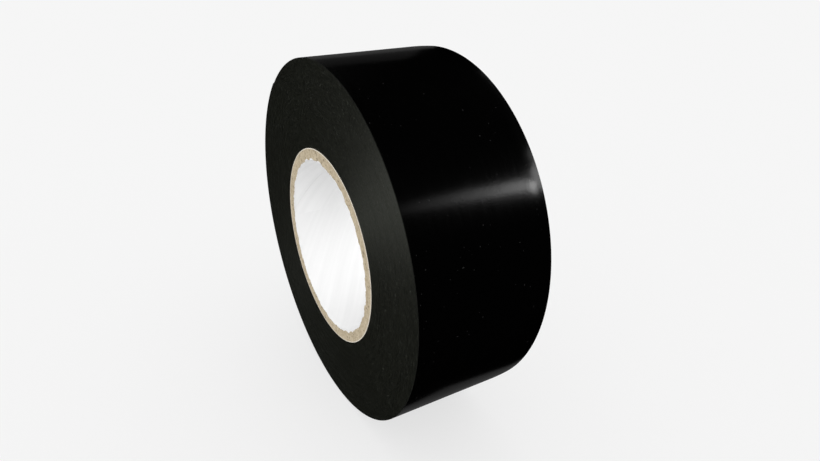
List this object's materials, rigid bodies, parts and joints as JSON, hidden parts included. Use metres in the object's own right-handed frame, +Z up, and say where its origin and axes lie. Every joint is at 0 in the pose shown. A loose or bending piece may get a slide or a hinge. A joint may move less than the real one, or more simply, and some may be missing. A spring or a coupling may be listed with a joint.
{
  "type": "electrical tape roll",
  "caption": "Roll of black vinyl insulating tape on a paperboard core, with a free end that peels off.",
  "frame": {"origin": "centre of the core's bore, half way across the tape's width", "axes": "+Y along the roll's axis, from the front side face to the back one; +Z up with the roll standing on its tread; the peel line of the tail is at -X"},
  "size_m": [0.0519, 0.019, 0.0519],
  "materials": {
    "white_paper": "matte",
    "kraft_board": "matte, fibrous",
    "wound_vinyl": "matte wound edges",
    "vinyl_film": "glossy",
    "tape_adhesive": "tacky, dull"
  },
  "bodies": {
    "roll": {"core_liner_ply": "white_paper", "core_kraft_ply_1": "kraft_board", "core_kraft_ply_2": "kraft_board", "core_kraft_ply_3": "kraft_board", "core_outer_ply": "white_paper", "wound_tape": "wound_vinyl", "outer_turn_film": "vinyl_film", "outer_turn_adhesive": "tape_adhesive"},
    "tail_1": {"tail_film_1": "vinyl_film", "tail_adhesive_1": "tape_adhesive"},
    "tail_2": {"tail_film_2": "vinyl_film", "tail_adhesive_2": "tape_adhesive"},
    "tail_3": {"tail_film_3": "vinyl_film", "tail_adhesive_3": "tape_adhesive"},
    "tail_4": {"tail_film_4": "vinyl_film", "tail_adhesive_4": "tape_adhesive"}
  },
  "joints": [
    {"name": "tail_peel_1", "type": "hinge", "parent": "roll", "child": "tail_1", "pos_m": [-0.02598, 0, -0.00088], "axis": [0, -1, 0], "range_deg": [0, 50]},
    {"name": "tail_peel_2", "type": "hinge", "parent": "tail_1", "child": "tail_2", "pos_m": [-0.02552, 0, 0.00499], "axis": [0, -1, 0], "range_deg": [0, 18]},
    {"name": "tail_peel_3", "type": "hinge", "parent": "tail_2", "child": "tail_3", "pos_m": [-0.02375, 0, 0.0106], "axis": [0, -1, 0], "range_deg": [0, 18]},
    {"name": "tail_peel_4", "type": "hinge", "parent": "tail_3", "child": "tail_4", "pos_m": [-0.02076, 0, 0.01567], "axis": [0, -1, 0], "range_deg": [0, 18]}
  ]
}
